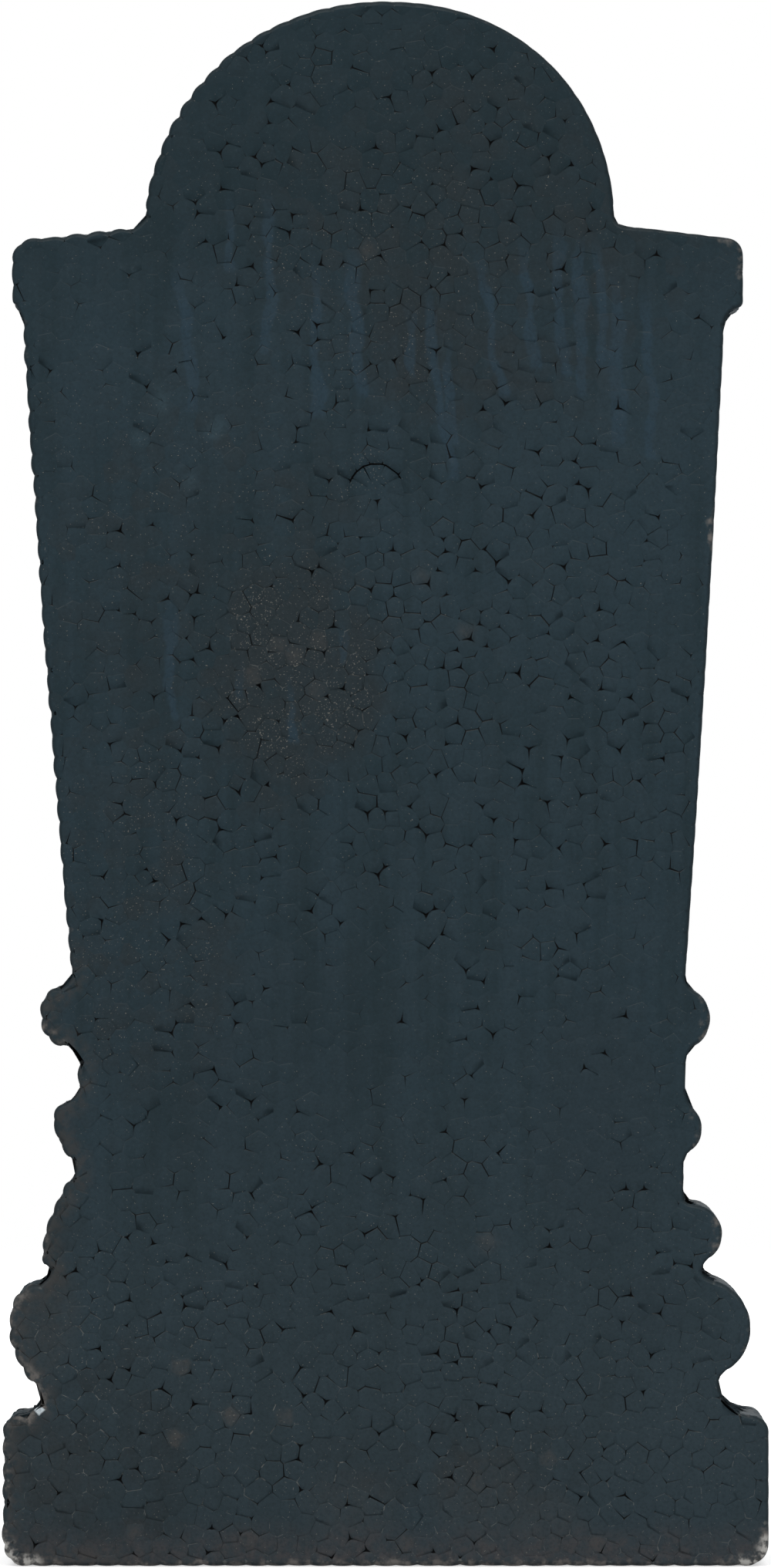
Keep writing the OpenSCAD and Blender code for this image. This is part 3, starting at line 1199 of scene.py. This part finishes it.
class FoamPaint(Graph):
    """The paint of the foam, laid on coat by coat over the last one."""

    def __init__(self, material):
        super().__init__(material)
        place = self.node("ShaderNodeTexCoord").outputs["Object"]
        self.point = self.scaled(place, (1000.0, 1000.0, 1000.0))
        self.x, y, self.z = self.split(self.point)
        self.back = self.ramp(y, BACK_FACE + 4.0, BACK_FACE + 1.5)
        self.broad = self.noise(self.point, 55.0, 3.0)
        self.patchy = self.noise(self.point, 14.0, 3.0, 0.55)
        self.mottle = self.noise(self.point, 2.6, 2.0, 0.6)
        self.grain = self.noise(self.point, 0.9, 2.0, 0.6)
        self.wobble = self.swing(self.patchy, 2.2)
        self.bead = self.value_of("bead")
        self.rim = self.value_of("rim")
        self.speck = self.value_of("speck")
        self.paint = None
        self.topcoat()
        self.thin_places()
        self.runs()
        self.beads_and_dust()
        self.fine_grain()
        self.borders()
        self.slopes()
        self.worn_rims()
        self.surface()

    def coat(self, colour_on, *amounts):
        """Lays a colour over the paint so far, by the product of the amounts."""
        self.paint = self.mix(self.times(*amounts), self.paint, colour_on)

    def rough(self, low, high, start=0.0, end=1.0):
        """The small mottling, brought between two limits."""
        return self.ramp(self.mottle, low, high, start, end)

    def topcoat(self):
        """Slate blue, brushed downwards, in broad lighter and darker patches, with painted light making it
        lighter towards the foot.
        """
        streaks = self.noise(self.scaled(self.point, (1.0, 1.0, 0.06)), 5.0, 2.0, 0.6)
        tone = self.add(self.times(self.broad, 0.8), self.times(streaks, 1.15), self.times(self.patchy, 0.45))
        tone = self.add(tone, self.ramp(self.x, -20.0, 90.0, 0.0, 0.16))
        self.paint = self.mix(self.ramp(tone, 0.82, 1.5), PAINT_DARK, PAINT_LIGHT)
        self.coat(PAINT_ARCH, self.ramp(self.z, 350.0, 400.0, 0.0, 0.65))
        # Painted light: lighter towards the foot, standing in for how the light falls there
        self.coat(PAINTED_LIGHT_LOW, self.ramp(self.z, 170.0, 20.0, 0.0, 0.55))
        self.coat(PAINT_CALM, self.value_of("calm"), 0.55)

    def thin_places(self):
        """Where the charcoal undercoat shows."""
        given = self.value_of("bare")
        front = self.times(self.ramp(self.broad, 0.5, 0.75, 0.0, 0.6), self.less(1.0, self.back))
        bare = self.add(given, self.times(given, self.wobble), front)
        bare = self.add(bare, self.swing(self.mottle, 0.5), self.swing(self.bead, 0.35))
        self.bare = self.ramp(bare, 0.2, 1.05)
        self.coat(UNDERCOAT, self.bare, 0.8)

    def runs(self):
        """Runs of thicker, bluer paint: narrow and upright, and fuller at the foot."""
        wander = self.swing(self.noise(self.point, 16.0, 1.0), 6.0)
        uneven = self.swing(self.noise(self.point, 6.0, 2.0), 3.5)
        found = []
        for top_x, top_z, foot_x, foot_z, width in DRIPS:
            slope = (foot_x - top_x) / (foot_z - top_z)
            line = self.add(self.times(self.less(self.z, foot_z), slope), foot_x)
            away = self.size_of(self.add(self.less(self.x, line), wander))
            across = self.ramp(self.add(away, uneven), 0.2 * width, 0.45 * width, 1.0, 0.0)
            foot = self.ramp(self.z, foot_z - 1.0, foot_z + 1.5)
            fade = self.ramp(self.z, top_z - 12.0, top_z + 6.0, 1.0, 0.0)
            found.append(self.times(across, foot, fade))
        self.run = self.times(self.math("MAXIMUM", *found), self.back)
        self.coat(RUN_PAINT, self.run, 0.68)
        self.coat(PALE_PAINT, self.value_of("pale"), 0.7)

    def beads_and_dust(self):
        """Each bead takes the paint a little differently, and some beads and the foot are dusty."""
        self.coat(self.mix(self.bare, BEAD_BLUE, BEAD_GREY), self.ramp(self.bead, 0.0, 1.0, 0.0, 0.22))
        self.coat(DUST, self.value_of("dust"), self.rough(0.25, 0.75, 0.3, 0.75))
        band = self.ramp(self.add(self.z, self.times(self.wobble, 5.0)), 15.0, 2.0)
        self.coat(BOTTOM_HAZE, band, self.back, self.rough(0.3, 0.7, 0.25, 0.8))

    def fine_grain(self):
        """Fine grain, and small specks of bare foam."""
        self.coat(GRAIN_DARK, self.ramp(self.grain, 0.3, 0.55, 0.35, 0.0))
        self.coat(GRAIN_LIGHT, self.ramp(self.grain, 0.58, 0.8, 0.0, 0.35))
        area = self.times(self.speck, self.ramp(self.patchy, 0.35, 0.65, 0.4, 1.0))
        shown = self.add(self.noise(self.point, 0.38, 0.0), self.times(area, 0.13))
        self.coat(SPECK_GREY, self.ramp(shown, 0.83, 0.88), 0.55)

    def borders(self):
        """Painted shade in the borders and pits between the beads, and a painted highlight on border edges in
        places.
        """
        groove = self.value_of("groove")
        # Painted shade in the grooves between the beads
        self.coat(GROOVE_PAINTED_SHADE, self.ramp(groove, 0.15, 0.9), self.rough(0.35, 0.6, 0.1, 1.0))
        # Painted highlight on the border edges, mostly low on the back and where the specks are
        highlight_area = self.add(self.ramp(self.z, 150.0, 40.0), self.speck)
        self.coat(BORDER_PAINTED_HIGHLIGHT, self.ramp(groove, 0.12, 0.5), self.rough(0.45, 0.36), highlight_area, 0.6)
        # Painted shade: the pits coloured near black
        self.coat(PIT_PAINTED_SHADE, self.ramp(self.value_of("pit"), 0.03, 0.22))

    def slopes(self):
        """On the back, painted light on slopes that face up, and painted shade on those that face down."""
        turned = self.split(self.node("ShaderNodeNewGeometry").outputs["True Normal"])
        on_back = self.ramp(turned[1], -0.75, -0.9)
        # Painted light on up-facing slopes and painted shade on down-facing ones
        self.coat(SLOPE_PAINTED_LIGHT, self.ramp(turned[2], 0.1, 0.5), on_back, self.rough(0.3, 0.6, 0.1, 0.5))
        self.coat(GROOVE_PAINTED_SHADE, self.ramp(turned[2], -0.1, -0.5), on_back, 0.15)

    def worn_rims(self):
        """Paint worn thin or off along the rims, one white chip, and a dark edge elsewhere."""
        given = self.value_of("worn")
        ragged = self.add(self.swing(self.mottle, 1.1), self.swing(self.patchy, 0.6))
        worn = self.add(self.times(self.rim, 0.75), self.times(given, 0.55), ragged)
        worn = self.times(self.ramp(worn, 0.9, 1.35), self.ramp(self.rim, 0.62, 0.95))
        rolls = self.times(self.ramp(self.x, -62.0, -86.0), self.ramp(self.z, 185.0, 165.0), self.back)
        self.coat(RIM_HAZE, self.ramp(self.rim, 0.35, 0.85), rolls, self.rough(0.35, 0.6, 0.15, 1.0), 0.5)
        self.coat(WORN, worn, self.rough(0.35, 0.65, 0.45, 0.9))
        self.coat(WORN_WHITE, worn, self.ramp(given, 0.86, 1.0), self.rough(0.42, 0.6), 0.8)
        away = [self.size_of(self.less(value, at)) for value, at in zip((self.x, self.z), CHIP)]
        self.coat(CHIP_WHITE, self.ramp(self.add(*away, self.wobble), 1.9, 1.1), self.back)
        self.coat(EDGE_DARK, self.ramp(self.rim, 0.9, 1.0, 0.0, 0.45), self.less(1.0, worn))

    def surface(self):
        shader = self.node("ShaderNodeBsdfPrincipled")
        self.put(shader.inputs["Base Color"], self.paint)
        rough = self.add(self.rough(0.2, 0.8, 0.58, 0.72), self.times(self.bare, 0.12))
        self.put(shader.inputs["Roughness"], self.add(rough, self.times(self.run, -0.1)))
        shader.inputs["Specular IOR Level"].default_value = 0.06
        bump = self.node("ShaderNodeBump")
        bump.inputs["Distance"].default_value = 0.001
        bump.inputs["Strength"].default_value = 0.8
        self.put(bump.inputs["Height"], self.add(self.times(self.grain, 0.05), self.times(self.mottle, 0.14)))
        self.put(shader.inputs["Normal"], bump.outputs[0])
        self.put(self.node("ShaderNodeOutputMaterial").inputs["Surface"], shader.outputs[0])


paint = bpy.data.materials.new("foam_paint")
FoamPaint(paint)
piece.data.materials.append(paint)
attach(piece, "root")
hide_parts("headstone")


# ---------------------------------------------------------------- floor, light and camera

def seen_directly(graph):
    """1 for what the camera sees, and for what it sees in glossy or clear things."""
    path = graph.node("ShaderNodeLightPath")
    rays = [path.outputs[name] for name in ("Is Camera Ray", "Is Glossy Ray", "Is Transmission Ray")]
    return graph.math("MAXIMUM", *rays)


def make_floor():
    """A pale matt floor that is a little brighter to the camera than to the object."""
    half, grey, glow_strength = 2.0, 0.8, 0.5
    mesh = bpy.data.meshes.new("floor")
    corners = [(-half, -half, 0), (half, -half, 0), (half, half, 0), (-half, half, 0)]
    mesh.from_pydata(corners, [], [(0, 1, 2, 3)])
    floor = bpy.data.objects.new("floor", mesh)
    bpy.context.scene.collection.objects.link(floor)
    material = bpy.data.materials.new("pale_floor")
    graph = Graph(material)
    matt = graph.node("ShaderNodeBsdfDiffuse")
    matt.inputs["Color"].default_value = (grey, grey, grey, 1)
    glow = graph.node("ShaderNodeEmission")
    graph.put(glow.inputs["Strength"], graph.times(seen_directly(graph), glow_strength))
    both = graph.node("ShaderNodeAddShader")
    graph.put(both.inputs[0], matt.outputs[0])
    graph.put(both.inputs[1], glow.outputs[0])
    graph.put(graph.node("ShaderNodeOutputMaterial").inputs["Surface"], both.outputs[0])
    mesh.materials.append(material)


def make_world():
    """White to the camera, and half as strong on the object."""
    ambient = 0.5
    world = bpy.data.worlds.new("studio")
    bpy.context.scene.world = world
    graph = Graph(world)
    backdrop = graph.node("ShaderNodeBackground")
    strength = graph.add(ambient, graph.times(seen_directly(graph), 1 - ambient))
    graph.put(backdrop.inputs["Strength"], strength)
    backdrop.inputs["Color"].default_value = (1, 1, 1, 1)
    graph.put(graph.node("ShaderNodeOutputWorld").inputs["Surface"], backdrop.outputs[0])


def make_lamp(name, place, size, power):
    """A round soft lamp aimed at the middle of the object."""
    lamp = bpy.data.lights.new(name, "AREA")
    lamp.shape = "DISK"
    lamp.size = size
    lamp.energy = power
    made = bpy.data.objects.new(name, lamp)
    made.location = place
    aim = Vector((0, 0, 0.22)) - Vector(place)
    made.rotation_euler = aim.to_track_quat("-Z", "Y").to_euler()
    bpy.context.scene.collection.objects.link(made)


def make_camera():
    """Square-on to the flat back from three metres, the frame a little over 450 mm high."""
    distance = 3.0
    frame_height = 0.45067
    data = bpy.data.cameras.new("camera")
    data.sensor_fit = "VERTICAL"
    data.sensor_height = 24.0
    data.lens = data.sensor_height * distance / frame_height
    camera = bpy.data.objects.new("camera", data)
    camera.location = (0.0001, BACK_FACE / 1000 - distance, 0.2249)
    camera.rotation_euler = (math.pi / 2, 0, 0)
    bpy.context.scene.collection.objects.link(camera)
    bpy.context.scene.camera = camera


make_floor()
make_world()
make_lamp("key", (-0.9, -2.6, 2.7), 1.4, 62.0)
make_lamp("front", (0.9, -2.2, 0.9), 1.2, 8.0)
make_lamp("far_side", (0.5, 1.8, 1.6), 1.2, 26.0)
make_camera()
bpy.context.scene.view_settings.view_transform = "Standard"
